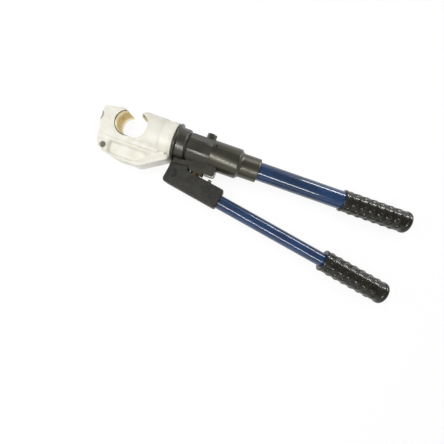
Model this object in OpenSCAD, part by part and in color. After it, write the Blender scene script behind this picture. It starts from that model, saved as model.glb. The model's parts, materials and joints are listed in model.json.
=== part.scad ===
// Hand-pumped hydraulic crimping tool, lying on its side.
// X runs along the ram from the jaw to the handles, Y from the lever side to the far side,
// Z up out of the jaw's side face. The origin is the centre of the anvil's round die seat.

/* [Head] */
// Radius of the round die seats in the anvil and the ram
seat_r = 19.05; // [18:0.05:20]
// Travel of the ram, from its drawn-back place until the two seats close on one circle
ram_travel = 16; // [12:0.5:18]
// Thickness of the jaw
jaw_w = 40; // [36:1:44]
// Step from the jaw's side face down to the spine's side face
spine_step = 3; // [2:0.5:4]
// Length of the jaw in front of the anvil seat's centre
jaw_front = 44; // [41:0.5:50]
// Metal over the upper tip of the anvil seat
horn_wall = 3; // [2.5:0.5:5]
// Depth of the spine's underside below the ram axis
spine_drop = 62; // [60:0.5:66]
// Depth of the web pocket in each side of the spine
web_depth = 5; // [2:0.5:7]
// Radius of the ram
ram_r = 23; // [22:0.25:24]
// Oil room between the drawn-back ram and the pump's nose
oil_room = 3; // [1:0.5:5]
// Wall of the hydraulic cylinder
cyl_wall = 8; // [7:0.25:10]
// Length of the hydraulic cylinder
cyl_len = 61.5; // [59.5:0.5:70]
// Radius of the tether hole through the spine
tether_r = 4.75; // [3.5:0.25:6]
// Radius of the die release button
button_r = 4; // [3.5:0.25:4.5]
// How far the die release button stands out of the jaw's front
button_proud = 4.6; // [3.5:0.1:6]

/* [Swivel] */
// Thickness of the brass thrust washer
washer_t = 1.5; // [1:0.1:2.5]
// Thickness of the collar's flange
flange_t = 3; // [3:0.5:6]
// How far the collar's flange stands out past the cylinder
flange_proud = 1; // [0.5:0.25:2]
// Radius of the collar's barrel
collar_r = 27; // [25.5:0.25:28]
// Length of the collar's barrel
collar_len = 16; // [12:0.5:18]
// Length of the pump's nose inside the cylinder
nose_len = 12; // [11:0.5:13]

/* [Pump] */
// Width across the flats of the eight-sided neck
neck_af = 46; // [44:0.5:48]
// Length of the eight-sided neck
neck_len = 38.5; // [37:0.5:42]
// Radius of the pump plunger
plunger_r = 6; // [5:0.25:6.5]
// Width across the flats of the relief valve's cap
cap_af = 15; // [14:0.5:16]
// Height of the relief valve's cap above the neck
cap_h = 8.5; // [8:0.5:12]
// Half thickness of the lug between the lever's cheeks
ear_half = 10; // [8.5:0.25:11]
// Half thickness of the lug behind the cheeks' hump
lug_half = 13; // [12:0.25:15]
// Depth of the lug's underside below the ram axis
lug_drop = 35.5; // [34:0.25:37]
// Radius of the release valve's stem
stem_r = 3; // [2.5:0.1:3.5]

/* [Fixed handle] */
// Length of the handle socket's wide step
socket_wide = 51; // [46:1:56]
// Length of the handle socket's narrow step
socket_narrow = 31; // [26:1:40]
// Radius of the handle socket's wide step
socket_r = 24.5; // [23.5:0.25:25.5]
// Wall of the handle socket round the tube
socket_wall = 4.3; // [3.5:0.1:5]
// Radius of the fixed handle's tube
tube_r = 15.35; // [14.5:0.05:16]
// Wall of both handle tubes
tube_wall = 2; // [1.5:0.1:2.5]
// Bare length of the fixed handle's tube between socket and grip
tube_bare = 144; // [100:1:200]

/* [Grips] */
// Radius of the grips
grip_r = 17.8; // [17:0.1:18.5]
// Length of the grips
grip_len = 113.5; // [100:0.5:140]
// Closed end of the grips
grip_end = 5; // [4:0.5:8]

/* [Lever] */
// Angle between the two handles as drawn
lever_angle = 10; // [8:0.5:12]
// Distance from the lever's pivot back to the handle socket
pivot_ahead = 48; // [46:0.5:50]
// Depth of the lever's pivot below the ram axis
pivot_drop = 50.7; // [50:0.1:53]
// Radius of the pivot pin
pivot_r = 5; // [4:0.25:5.5]
// Length of the bracket behind the release finger
bracket_tail = 29; // [26:0.5:36]
// Thickness of each cheek of the bracket
cheek_t = 6.3; // [5:0.1:8]
// Distance of the moving handle's axis below the line through the pivot
handle_drop = 3.3; // [2.5:0.1:4]
// Radius of the moving handle's tube
lever_tube_r = 11.7; // [11:0.1:12]
// Distance from the pivot to the moving handle's grip
lever_grip_x = 281; // [240:1:320]
// Distance of the drive roller from the pivot along the handle
drive_x = 36; // [35:0.25:37]
// Distance of the drive roller from the pivot across the handle
drive_y = 4; // [3:0.25:5]
// Radius of the drive roller
roller_r = 4; // [3.5:0.1:4.5]
// Distance from the pivot to the middle of the release finger
finger_x = 58; // [57.5:0.1:59]
// Reach of the release finger from the moving handle's axis
finger_reach = 24.1; // [23:0.1:24.4]
// Angle by which the moving handle twists to release the pressure
twist_angle = 22; // [18:1:24]

/* [Hidden] */
$fn = 64;
HULL_FN = 32;

// Clearances: a running fit, a seated fit between fixed pieces, and free room round a moving piece
run_gap = 0.05;
seat_gap = 0.03;
free_gap = 0.3;
// Extra length of a cut past the face that it opens
past = 1;

// Places along the ram axis, from the jaw to the end of the fixed grip
cyl_lip = 1.5;
cyl_front = ram_travel + cyl_lip;
cyl_rear = cyl_front + cyl_len;
cyl_r = ram_r + cyl_wall;
bore_r = ram_r + run_gap;
nose_x = cyl_rear - nose_len;
ram_rear = nose_x - oil_room;
washer_x = cyl_rear + 0.2;
flange_x = washer_x + washer_t + 0.2;
flange_r = cyl_r + flange_proud;
collar_end = flange_x + flange_t + collar_len;
collar_fillet = 1.2;
neck_x = collar_end + 1.6;
socket_x = neck_x + neck_len;
socket_step_x = socket_x + socket_wide;
socket_end = socket_step_x + socket_narrow;
grip_x = socket_end + tube_bare;
socket_narrow_r = tube_r + socket_wall;

// The jaw: corners of its side outline as [x, y, radius]
anvil_top = seat_r + horn_wall;
jaw_half = jaw_w / 2;
spine_half = jaw_half - spine_step;
edge_round = spine_step;
horn_back = 7;
corner_r = 25;
spine_corners = [
    [corner_r - jaw_front + 2.5, corner_r - spine_drop + 6, corner_r],
    [8 - jaw_front + 1, -8, 8],
    [2, 25 - spine_drop + 2.2, 25],
    [32, 16.5 - spine_drop, 14],
    [cyl_rear - 6, -cyl_r + 0.5, 5]
];
jaw_low = -seat_r - 11;
jaw_corners = [
    [4.5 - jaw_front, anvil_top - 9, 4.5],
    [22 - jaw_front, jaw_low + 22, 22],
    [-12, anvil_top - 4, 4],
    [cyl_front + 38, jaw_low + 6, 6]
];
web_corners = [
    [-14, jaw_low - 8.5, 2],
    [-11, 15 - spine_drop, 4],
    [25, 14 - spine_drop, 4],
    [40, jaw_low - 9, 2]
];
tether_at = [-27, 17.5 - spine_drop];
scoop_r = 13;
scoop_at = [-jaw_front - 5.5, -1, jaw_half + 8];

// The die release button, above the ram axis in the jaw's front
button_y = 9.5;
button_stem_r = 2.5;
button_face = -jaw_front + 1.8;
button_head_end = -jaw_front + 6;
button_shoulder = button_head_end + 10;
button_tip = -sqrt(pow(seat_r, 2) - pow(button_y - button_stem_r, 2)) - 0.4;

// Ram, seal, wiper and the return spring between two cross pins
ram_cavity_r = 9;
ram_cavity_x = ram_travel + seat_r + 6;
ram_seal_x = ram_rear - 8;
ram_seal_w = 4;
ram_seal_deep = 3;
wiper_x = ram_travel + seat_r + 6;
wiper_w = 3;
wiper_deep = 2;
spring_pin_r = 1.5;
ram_pin_x = ram_cavity_x + 3;
anchor_deep = 10;
anchor_x = nose_x + anchor_deep - 3.5;
anchor_r = 7;

// Nose of the pump: seal groove and the groove that the swivel screws run in
nose_r = bore_r - 0.15;
nose_seal_x = nose_x + 2.4;
nose_seal_r = 1.2;
screw_x = nose_x + 6.5;
screw_r = 3;
screw_dog_r = 1.9;
screw_groove_r = nose_r - 2.4;
screw_angles = [for (i = [0:2]) 147 + 120 * i];

// Pump body, with its valve bores beside the ram axis
neck_round_r = nose_r - 0.9;
neck_edge_r = neck_af / 2 + 1.2;
spigot_r = socket_r - 5;
spigot_len = 30;
spigot_end = socket_x + spigot_len;
boss_r = 10;
boss_len = 12;
boss_end = spigot_end + boss_len;
port_r = 1.5;
valve_r = 4;
ball_r = 3;
outlet_y = 13;
inlet_y = 4.4;
outlet_seat_x = nose_x + 16;
inlet_spring_x = spigot_end - 14;
valve_spring_len = 5;
valve_plug_len = 4;

// Lever pivot and the places that follow from it
pivot_x = socket_x - pivot_ahead;
pivot = [pivot_x, -pivot_drop];
ear_r = pivot_r + 4.2;
drive_at = pivot + [
    drive_x * cos(lever_angle) + drive_y * sin(lever_angle),
    drive_y * cos(lever_angle) - drive_x * sin(lever_angle)
];
plunger_x = drive_at.x - 3;
plunger_top = 9;
chamber_top = plunger_top + 6;
cap_r = cap_af / 2 / cos(30) - 0.6;
cap_x = socket_x - cap_r - 0.3;
relief_r = 6;
relief_floor = chamber_top + 0.6;
stem_x = pivot_x + 58.6;
stem_z = finger_reach * sin(twist_angle) - 1;
yoke_room = 31;
lug_front_x = neck_x + 16;
lug_rear_x = stem_x + 5.8;
gland_r = 5;
rear_half = lug_half + 2;
gland_len = 4.2;
stem_head_r = stem_r + 1.2;
stem_proud = 2.3;
stem_rest = -lug_drop + gland_len;
stem_head_t = 1.6;
stem_spring_len = 3.4;

// Bush and seal round the plunger
bush_r = plunger_r + 4;
bush_len = 7;
bush_flange = 1.6;
plunger_seal_w = 2.5;
plunger_seal_deep = 2;

// Yoke on the plunger's foot; its slot takes the roller's sideways wander over the stroke
slot_play = 0.45;
slot_half_len = roller_r + 4.4;
slot_half_h = roller_r + slot_play;
yoke_wall = 4;
yoke_half = ear_half - 1;
yoke_top = drive_at.y + slot_half_h + yoke_wall;
yoke_boss_r = plunger_r + 2.6;
yoke_boss_h = 6.5;
yoke_reach = yoke_boss_r + 2.4;
guard_in = bush_r + free_gap;
guard_gap = 0.6;
lever_close = 3.5;
dowel_r = 1.5;
dowel_y = yoke_top + yoke_boss_h / 2;
plunger_foot = yoke_top - yoke_wall + 1;

// Bracket: corners of its side outline in the lever's own axes, as [x, y, radius]
cheek_in = ear_half + 0.2;
bracket_half = cheek_in + cheek_t;
bracket_left = -9.4;
bracket_low = -18;
bracket_top = 16;
bracket_edge = 2.2;
bracket_len = finger_x + bracket_tail;
bracket_corners = [
    [bracket_left + 6, bracket_low + 6, 6],
    [bracket_left + 5, bracket_top - 6, 5],
    [bracket_len - 4, bracket_low + 4, 4],
    [bracket_len - 4, bracket_top - 4, 4]
];
hump_corners = [
    [bracket_left + 6, bracket_top - 6, 6],
    [14.5, bracket_top + 0.8, 4.5],
    [19, bracket_top - 6, 4.5]
];
web_top = -13;
channel_end = finger_x - 3.6;
finger_half = 3;
finger_wide = 7;
finger_side = (bracket_top + handle_drop + 1) * tan(twist_angle) + finger_wide / 2 / cos(twist_angle) + 0.3;
tube_start = finger_x + finger_half + 0.1;
retain_x = finger_x + bracket_tail / 2;
stub_end = retain_x - 3.5;
retain_r = 2;
retain_head_r = 4.5;
lever_bush_wall = 1.5;
circlip_t = 1;
pin_half = bracket_half + circlip_t + 1.2;
drive_pin_r = 2.5;

// Grips, plugs and the oil bladder inside the fixed tube
grip_flange_r = grip_r + 0.6;
grip_flange_t = 4;
tube_end = grip_x + grip_len - grip_end - free_gap;
lever_tube_end = lever_grip_x + grip_len - grip_end - free_gap;
plug_len = 14;
bladder_wall = 1.5;
bladder_r = tube_r - tube_wall - 1;
bladder_len = 230;
clamp_w = 5;
lock_x = socket_x + 6;
lock_angle = -28;
lock_r = 2.5;

steel = [0.62, 0.62, 0.6];
nickel = [0.86, 0.86, 0.8];
black = [0.15, 0.15, 0.14];
brass = [0.75, 0.6, 0.32];
navy = [0.12, 0.19, 0.33];
rubber = [0.09, 0.09, 0.085];

// Points of an arc with centre c, radius r, from angle a to angle b
function arc(c, r, a, b, steps = 6) =
    [for (i = [0:steps]) c + r * [cos(a + (b - a) * i / steps), sin(a + (b - a) * i / steps)]];

// Turn a [radius, x] profile round the ram axis
module turned() {
    rotate([0, 90, 0]) rotate_extrude() children();
}

// A plain round bar along X, Y or Z that starts at the place given
module bar_x(at, r, l) {
    translate(at) rotate([0, 90, 0]) cylinder(r = r, h = l);
}

module bar_y(at, r, l) {
    translate(at) rotate([-90, 0, 0]) cylinder(r = r, h = l);
}

module bar_z(at, r, half) {
    translate([at.x, at.y, -half]) cylinder(r = r, h = 2 * half);
}

// A flat slab with the round corners given as [x, y, radius] and rounded side edges
module slab(corners, half, edge) {
    hull() for (c = corners, a = [0, 45, 90])
        translate([c.x, c.y, 0])
            cylinder(r = c[2] - edge * (1 - cos(a)), h = 2 * (half - edge * (1 - sin(a))),
                center = true, $fn = HULL_FN);
}

// The lever's own axes: origin on the pivot, X along the moving handle
module on_lever() {
    translate([pivot.x, pivot.y, 0]) rotate([0, 0, -lever_angle]) children();
}

// The moving handle's axis, in the lever's own axes
module on_handle() {
    on_lever() translate([0, -handle_drop, 0]) children();
}

// Coil spring along X as one tube of six sides and eight rings a turn
function coil_ring(r, wire, pitch, x0, k) =
    let (a = 45 * k, lead = atan2(pitch, 2 * PI * r))
    [for (j = [0:5]) let (b = 60 * j, out = r + wire * cos(b))
        [x0 + pitch * k / 8 + wire * sin(b) * cos(lead),
         out * cos(a) + wire * sin(b) * sin(lead) * sin(a),
         out * sin(a) - wire * sin(b) * sin(lead) * cos(a)]];

module coil_x(at, r, wire, len, turns) {
    pitch = (len - 2 * wire) / turns;
    rings = 8 * turns;
    echo(coil_gap = pitch - 2 * wire);
    tube = [for (k = [0:rings]) each coil_ring(r, wire, pitch, wire, k)];
    sides = [for (k = [0:rings - 1], j = [0:5])
        let (p = 6 * k + j, q = 6 * k + (j + 1) % 6) each [[p, p + 6, q], [q, p + 6, q + 6]]];
    caps = [for (j = [1:4]) each [[0, j, j + 1], [6 * rings, 6 * rings + j + 1, 6 * rings + j]]];
    translate(at) polyhedron(tube, concat(sides, caps));
}

// Head: forged C-shaped jaw and hydraulic cylinder in one piece
module cylinder_outside() {
    band_x = cyl_rear - 22;
    turned() polygon(concat(
        [[0, cyl_front + 0.01]],
        arc([cyl_r - 5, cyl_front + 5], 5, -90, 0),
        [[cyl_r, band_x], [cyl_r - 0.6, band_x + 0.6], [cyl_r - 0.6, cyl_rear - 9.6],
         [cyl_r, cyl_rear - 9], [cyl_r, cyl_rear - 1], [cyl_r - 1, cyl_rear], [0, cyl_rear]]
    ));
}

module head_outside() {
    difference() {
        union() {
            slab(spine_corners, spine_half, edge_round);
            slab(jaw_corners, jaw_half, edge_round);
        }
        translate([0, -seat_r, -jaw_w]) cube([cyl_front + past, 3 * seat_r, 2 * jaw_w]);
        translate([-horn_back, 0, -jaw_w]) cube([cyl_front + horn_back, 3 * seat_r, 2 * jaw_w]);
        translate([cyl_front, 0, -jaw_w]) cube([cyl_len, 3 * seat_r, 2 * jaw_w]);
    }
    cylinder_outside();
}

module web_pocket() {
    hull() for (c = web_corners)
        translate([c.x, c.y, spine_half - web_depth])
            cylinder(r1 = c[2], r2 = c[2] + 4, h = web_depth + 0.01, $fn = HULL_FN);
}

module seat_cut(x) {
    bar_z([x, 0], seat_r, jaw_w);
    for (side = [0, 1]) mirror([0, 0, side])
        translate([x, 0, jaw_half - 1]) cylinder(r1 = seat_r, r2 = seat_r + 2, h = 2);
}

module crimp_head() {
    color(nickel) difference() {
        head_outside();
        seat_cut(0);
        bar_z([ram_travel, 0], seat_r + 1, jaw_w);
        bar_x([-0.5, 0, 0], ram_r + 0.4, cyl_front + 0.5);
        bar_x([cyl_front - past, 0, 0], bore_r, cyl_len + 2 * past);
        bar_x([wiper_x, 0, 0], bore_r + wiper_deep, wiper_w);
        bar_z(tether_at, tether_r, jaw_w);
        for (side = [0, 1]) mirror([0, 0, side]) {
            web_pocket();
            translate([tether_at.x, tether_at.y, spine_half - 1])
                cylinder(r1 = tether_r, r2 = tether_r + 2, h = 2);
            translate(scoop_at) sphere(r = scoop_r);
        }
        bar_x([-jaw_front - past, button_y, 0], button_r + run_gap, button_shoulder + jaw_front + past);
        bar_x([button_shoulder - past, button_y, 0], button_stem_r + run_gap, jaw_front);
        for (a = screw_angles) rotate([a, 0, 0]) {
            bar_y([screw_x, nose_r - past, 0], screw_r + seat_gap, cyl_wall + 3);
        }
    }
}

module ram_wiper() {
    color(rubber) turned() polygon([
        [bore_r + 0.02, wiper_x + 0.05], [bore_r + wiper_deep - 0.05, wiper_x + 0.05],
        [bore_r + wiper_deep - 0.05, wiper_x + wiper_w - 0.05],
        [bore_r + 0.6, wiper_x + wiper_w - 0.05]
    ]);
}

// Dog-point screws that hold the head on the pump's nose and let it turn
module swivel_screws() {
    color(steel) for (a = screw_angles) rotate([a, 0, 0]) difference() {
        union() {
            bar_y([screw_x, nose_r + 0.6, 0], screw_r, cyl_r - 1.4 - nose_r);
            bar_y([screw_x, screw_groove_r + 0.3, 0], screw_dog_r, 3);
        }
        bar_y([screw_x, cyl_r - 3, 0], 1.5, 4, $fn = 6);
    }
}

// Spring button in the jaw's front that presses the half die off its seat
module die_release_button() {
    color(nickel) {
        translate([-jaw_front - button_proud + 1.8, button_y, 0]) rotate([0, 90, 0]) rotate_extrude()
            polygon(concat(
                [[0, 0]],
                arc([button_r - 1.2, 1.2], 1.2, -90, 0, 4),
                [[button_r, button_proud + 4.2], [0, button_proud + 4.2]]
            ));
        bar_x([button_head_end - 0.5, button_y, 0], button_stem_r, button_tip - button_head_end + 0.5);
    }
}

module die_button_spring() {
    color(steel) coil_x([button_head_end + 0.1, button_y, 0], button_stem_r + 0.75, 0.4,
        button_shoulder - button_head_end - 0.2, 5);
}

// Ram with the moving die seat in its nose and the return spring in its hollow back
module ram() {
    color(nickel) difference() {
        turned() polygon(concat(
            [[0, ram_travel], [ram_r - 1, ram_travel], [ram_r, ram_travel + 1]],
            [[ram_r, ram_seal_x], [ram_r - ram_seal_deep, ram_seal_x],
             [ram_r - ram_seal_deep, ram_seal_x + ram_seal_w], [ram_r, ram_seal_x + ram_seal_w]],
            [[ram_r, ram_rear - 1], [ram_r - 1, ram_rear], [ram_cavity_r, ram_rear],
             [ram_cavity_r, ram_cavity_x], [0, ram_cavity_x]]
        ));
        bar_z([ram_travel, 0], seat_r, 2 * ram_r);
        bar_z([ram_pin_x, 0], spring_pin_r + seat_gap, ram_r - 3);
    }
}

module ram_seal() {
    color(rubber) turned() translate([ram_r - ram_seal_deep + 0.05, ram_seal_x + 0.1])
        square([ram_seal_deep - 0.03, ram_seal_w - 0.2]);
}

module ram_spring_pin() {
    color(steel) bar_z([ram_pin_x, 0], spring_pin_r, ram_r - 3.2);
}

module ram_return_spring() {
    start = ram_pin_x + spring_pin_r + 0.2;
    color(steel) rotate([90, 0, 0])
        coil_x([start, 0, 0], 5, 0.9, anchor_x - spring_pin_r - 0.2 - start, 9);
}

// Pump body: nose, eight-sided neck, rear spigot, lug with pivot ear, and the oil ways
module pump_turned() {
    turned() polygon([
        [0, nose_x], [nose_r - 1, nose_x], [nose_r, nose_x + 1],
        [nose_r, nose_seal_x - 1.3], [nose_r - 2.4, nose_seal_x - 1.3],
        [nose_r - 2.4, nose_seal_x + 1.3], [nose_r, nose_seal_x + 1.3],
        [nose_r, screw_x - screw_dog_r - 0.2], [screw_groove_r, screw_x - screw_dog_r - 0.2],
        [screw_groove_r, screw_x + screw_dog_r + 0.2], [nose_r, screw_x + screw_dog_r + 0.2],
        [nose_r, cyl_rear], [neck_round_r, cyl_rear], [neck_round_r, neck_x + past],
        [spigot_r, neck_x + past], [spigot_r, spigot_end], [boss_r, spigot_end],
        [boss_r, boss_end - 1], [boss_r - 1, boss_end], [0, boss_end]
    ]);
}

module neck() {
    intersection() {
        translate([neck_x, 0, 0]) rotate([0, 90, 0]) rotate([0, 0, 22.5])
            cylinder(r = neck_af / 2 / cos(22.5), h = neck_len, $fn = 8);
        turned() polygon([
            [0, neck_x], [neck_edge_r - 1.5, neck_x], [neck_edge_r, neck_x + 1.5],
            [neck_edge_r, socket_x], [0, socket_x]
        ]);
    }
}

module ear_outline() {
    under_collar = -collar_r + 3;
    under_flange = -flange_r - free_gap;
    ear_front = flange_x + flange_t + collar_fillet + free_gap;
    union() {
        translate(pivot) circle(r = ear_r);
        polygon([
            [neck_x + 11, 0], [neck_x + 3, -neck_af / 2 - 1.5], [neck_x + 1, under_collar],
            [ear_front, under_collar], [ear_front, under_flange],
            [pivot.x - ear_r, under_flange], [pivot.x - ear_r, pivot.y], [pivot.x + ear_r, pivot.y],
            [pivot.x + ear_r, -lug_drop - 3], [pivot.x + ear_r + 3, -lug_drop],
            [plunger_x - yoke_reach, -lug_drop], [plunger_x - yoke_reach + 1, -yoke_room],
            [lug_front_x + 1, -yoke_room], [lug_front_x + 1, 0]
        ]);
    }
}

module lug_outline() {
    polygon([
        [lug_front_x, -neck_af / 4], [lug_front_x, -yoke_room], [plunger_x + yoke_reach - 1, -yoke_room],
        [plunger_x + yoke_reach, -lug_drop + 1], [lug_rear_x - 1, -lug_drop + 1],
        [lug_rear_x - 1, -neck_af / 4]
    ]);
}

module rear_outline() {
    front = plunger_x + yoke_reach + 1;
    polygon([
        [front, -neck_af / 4], [front, -lug_drop + 2], [front + 2, -lug_drop],
        [lug_rear_x - 3, -lug_drop], [lug_rear_x, -lug_drop + 3], [lug_rear_x, -neck_af / 4]
    ]);
}

// Where the bracket's top edge comes to when the lever is closed, with room above it
function guard_y(x) = pivot.y + (bracket_top + guard_gap) / cos(lever_angle - lever_close)
    - (x - pivot.x) * tan(lever_angle - lever_close);

// One of the two walls beside the yoke, which close the lug down to the bracket
module guard_outline() {
    front = plunger_x - yoke_reach;
    rear = plunger_x + yoke_reach + 1.5;
    polygon([
        [front, -yoke_room + 2], [front, -lug_drop + 2], [front + 1.5, guard_y(front + 1.5)],
        [rear, guard_y(rear)], [rear, -yoke_room + 2]
    ]);
}

module pump_lug() {
    difference() {
        union() {
            linear_extrude(2 * ear_half, center = true) ear_outline();
            linear_extrude(2 * lug_half, center = true) lug_outline();
            linear_extrude(2 * rear_half, center = true) rear_outline();
            for (side = [0, 1]) mirror([0, 0, side]) translate([0, 0, guard_in])
                linear_extrude(lug_half - 0.4 - guard_in) guard_outline();
        }
        bar_x([socket_x, 0, 0], socket_r + 0.2, spigot_len + boss_len);
        bar_x([nose_x, 0, 0], collar_r + free_gap, collar_end - nose_x + 0.2);
    }
}

module oil_ways() {
    translate([plunger_x, -yoke_room, 0]) rotate([-90, 0, 0]) rotate_extrude() polygon([
        [0, -past], [bush_r + seat_gap, -past], [bush_r + seat_gap, bush_len],
        [plunger_r + plunger_seal_deep, bush_len],
        [plunger_r + plunger_seal_deep, bush_len + plunger_seal_w],
        [plunger_r + run_gap, bush_len + plunger_seal_w],
        [plunger_r + run_gap, yoke_room + chamber_top], [0, yoke_room + chamber_top]
    ]);
    bar_x([outlet_seat_x - past, outlet_y, 0], port_r, cap_x - outlet_seat_x + past + port_r);
    bar_x([nose_x - past, outlet_y, 0], valve_r, outlet_seat_x - nose_x + past);
    bar_x([plunger_x, inlet_y, 0], port_r, inlet_spring_x - plunger_x + past);
    bar_x([inlet_spring_x, inlet_y, 0], valve_r, boss_end - inlet_spring_x + past);
    bar_y([cap_x, outlet_y, 0], port_r - 0.4, relief_floor - outlet_y + past);
    bar_y([cap_x, relief_floor, 0], relief_r + seat_gap, neck_af);
    bar_x([nose_x - past, 0, 0], anchor_r, anchor_deep + past);
    bar_z([anchor_x, 0], spring_pin_r + seat_gap, anchor_r + 6);
    translate([stem_x, -lug_drop, stem_z]) rotate([-90, 0, 0]) rotate_extrude() polygon([
        [0, -past], [gland_r + seat_gap, -past], [gland_r + seat_gap, gland_len],
        [stem_head_r + run_gap, gland_len],
        [stem_head_r + run_gap, gland_len + stem_head_t + stem_spring_len + 0.4],
        [0, gland_len + stem_head_t + stem_spring_len + 0.4]
    ]);
}

module pump_body() {
    color(black) difference() {
        union() {
            pump_turned();
            neck();
            pump_lug();
        }
        oil_ways();
        bar_z(pivot, pivot_r + seat_gap, ear_half + past);
        rotate([lock_angle, 0, 0]) translate([lock_x, 0, spigot_r - 3])
            cylinder(r = lock_r + seat_gap, h = 10);
    }
}

module nose_seal() {
    color(rubber) turned() translate([nose_r - 2.4 + nose_seal_r + 0.02, nose_seal_x])
        circle(r = nose_seal_r);
}

module swivel_washer() {
    color(brass) turned() translate([neck_round_r + 0.1, washer_x])
        square([cyl_r - 3.5 - neck_round_r, washer_t]);
}

module swivel_collar() {
    color(black) turned() polygon(concat(
        [[neck_round_r + seat_gap, flange_x]],
        arc([flange_r - 1.9, flange_x + 1.9], 1.9, -90, 0, 4),
        arc([flange_r - 1.9, flange_x + flange_t - 1.9], 1.9, 0, 80, 4),
        arc([collar_r + collar_fillet, flange_x + flange_t + collar_fillet], collar_fillet, 270, 180, 4),
        [[collar_r, collar_end - 2], [collar_r - 2, collar_end], [neck_round_r + seat_gap, collar_end]]
    ));
}

module spring_anchor_pin() {
    color(steel) bar_z([anchor_x, 0], spring_pin_r, anchor_r + 5.8);
}

// Check valves: the outlet lets oil forward to the ram, the inlet lets it in from the bladder
module valve_balls() {
    color(steel) {
        translate([outlet_seat_x - ball_r - 0.1, outlet_y, 0]) sphere(r = ball_r);
        translate([inlet_spring_x + valve_spring_len + ball_r + 0.4, inlet_y, 0]) sphere(r = ball_r);
        translate([cap_x, relief_floor + ball_r + 0.2, 0]) sphere(r = ball_r);
    }
}

module valve_springs() {
    coil_r = ball_r - 0.9;
    color(steel) {
        coil_x([outlet_seat_x - 2 * ball_r - 0.3 - valve_spring_len, outlet_y, 0], coil_r, 0.4,
            valve_spring_len, 3);
        coil_x([inlet_spring_x + 0.2, inlet_y, 0], coil_r, 0.4, valve_spring_len, 3);
        translate([cap_x, relief_floor + 2 * ball_r + 0.4, 0]) rotate([0, 0, 90])
            coil_x([0, 0, 0], coil_r, 0.4, valve_spring_len, 3);
    }
}

module valve_plugs() {
    inlet_seat_x = inlet_spring_x + valve_spring_len + 2 * ball_r + 0.6;
    color(brass) {
        difference() {
            bar_x([nose_x, outlet_y, 0], valve_r - seat_gap, valve_plug_len);
            bar_x([nose_x - past, outlet_y, 0], port_r, valve_plug_len + 2 * past);
        }
        difference() {
            bar_x([inlet_seat_x, inlet_y, 0], valve_r - seat_gap, boss_end - inlet_seat_x);
            bar_x([inlet_seat_x - past, inlet_y, 0], port_r, boss_end - inlet_seat_x + 2 * past);
        }
    }
}

module relief_valve_cap() {
    spring_top = relief_floor + 2 * ball_r + 0.4 + valve_spring_len + 0.2;
    base = neck_af / 2 + 0.05;
    color(black) difference() {
        union() {
            intersection() {
                bar_y([cap_x, base, 0], cap_af / 2 / cos(30), cap_h, $fn = 6);
                bar_y([cap_x, base, 0], cap_r, cap_h);
            }
            bar_y([cap_x, relief_floor + 0.2, 0], relief_r, base - relief_floor);
        }
        bar_y([cap_x, relief_floor, 0], ball_r + 0.2, spring_top - relief_floor);
        bar_y([cap_x, base + cap_h - 4, 0], 3, 5, $fn = 6);
    }
}

module plunger_bush() {
    color(brass) translate([plunger_x, -yoke_room, 0]) rotate([-90, 0, 0]) rotate_extrude()
        polygon([
            [plunger_r + run_gap, -bush_flange], [bush_r - 1, -bush_flange], [bush_r - 0.2, -bush_flange + 0.8],
            [bush_r - 0.2, 0], [bush_r, 0], [bush_r, bush_len - 0.05], [plunger_r + run_gap, bush_len - 0.05]
        ]);
}

module plunger_seal() {
    color(rubber) translate([plunger_x, -yoke_room + bush_len + 0.05, 0]) rotate([-90, 0, 0])
        rotate_extrude() translate([plunger_r + 0.02, 0])
            square([plunger_seal_deep - 0.07, plunger_seal_w - 0.1]);
}

// Release valve under the lug: a sprung stem that the twisted handle's finger meets
module release_valve_gland() {
    color(steel) difference() {
        bar_y([stem_x, -lug_drop, stem_z], gland_r, gland_len);
        bar_y([stem_x, -lug_drop - past, stem_z], stem_r + run_gap, gland_len + 2 * past);
    }
}

module release_valve_stem() {
    color(steel) {
        translate([stem_x, -lug_drop - stem_proud, stem_z]) rotate([-90, 0, 0]) rotate_extrude()
            polygon(concat(
                [[0, 0]],
                arc([stem_r - 1.2, 1.2], 1.2, -90, 0, 4),
                [[stem_r, stem_proud + gland_len + 0.1], [0, stem_proud + gland_len + 0.1]]
            ));
        bar_y([stem_x, stem_rest + 0.05, stem_z], stem_head_r, stem_head_t);
    }
}

module release_valve_spring() {
    color(steel) translate([stem_x, stem_rest + stem_head_t + 0.2, stem_z]) rotate([0, 0, 90])
        coil_x([0, 0, 0], stem_r, 0.35, stem_spring_len, 3);
}

// Fixed handle: moulded socket over the pump's spigot, tube, grip and the bladder inside
module handle_socket() {
    neck_fillet = 2.5;
    color(black) difference() {
        turned() polygon(concat(
            [[spigot_r + seat_gap, socket_x + 0.05], [socket_r - 0.8, socket_x + 0.05], [socket_r, socket_x + 0.85]],
            [[socket_r, socket_step_x - 5]],
            arc([socket_r - 3, socket_step_x - 5], 3, 0, 60, 4),
            [[socket_narrow_r + 0.8, socket_step_x], [socket_narrow_r, socket_step_x + neck_fillet]],
            arc([socket_narrow_r - 2, socket_end - 2], 2, 0, 90, 4),
            [[tube_r + seat_gap, socket_end], [tube_r + seat_gap, spigot_end + 0.1],
             [spigot_r + seat_gap, spigot_end + 0.1]]
        ));
        rotate([lock_angle, 0, 0]) translate([lock_x, 0, spigot_r - past])
            cylinder(r = lock_r + seat_gap, h = socket_r);
    }
}

module socket_lock_screw() {
    color(steel) rotate([lock_angle, 0, 0]) translate([lock_x, 0, 0]) difference() {
        translate([0, 0, spigot_r - 2.8]) cylinder(r = lock_r, h = socket_r - 0.2 - spigot_r + 2.8);
        translate([0, 0, socket_r - 2.2]) cylinder(r = 1.4, h = 3, $fn = 6);
    }
}

module handle_tube(r, from, to) {
    difference() {
        bar_x([from, 0, 0], r, to - from);
        bar_x([from - past, 0, 0], r - tube_wall, to - from + 2 * past);
    }
}

module tube_plug(r, end) {
    color(rubber) difference() {
        bar_x([end - plug_len, 0, 0], r - tube_wall - seat_gap, plug_len);
        bar_x([end - plug_len - past, 0, 0], r - tube_wall - 3, plug_len - 2);
    }
}

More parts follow.
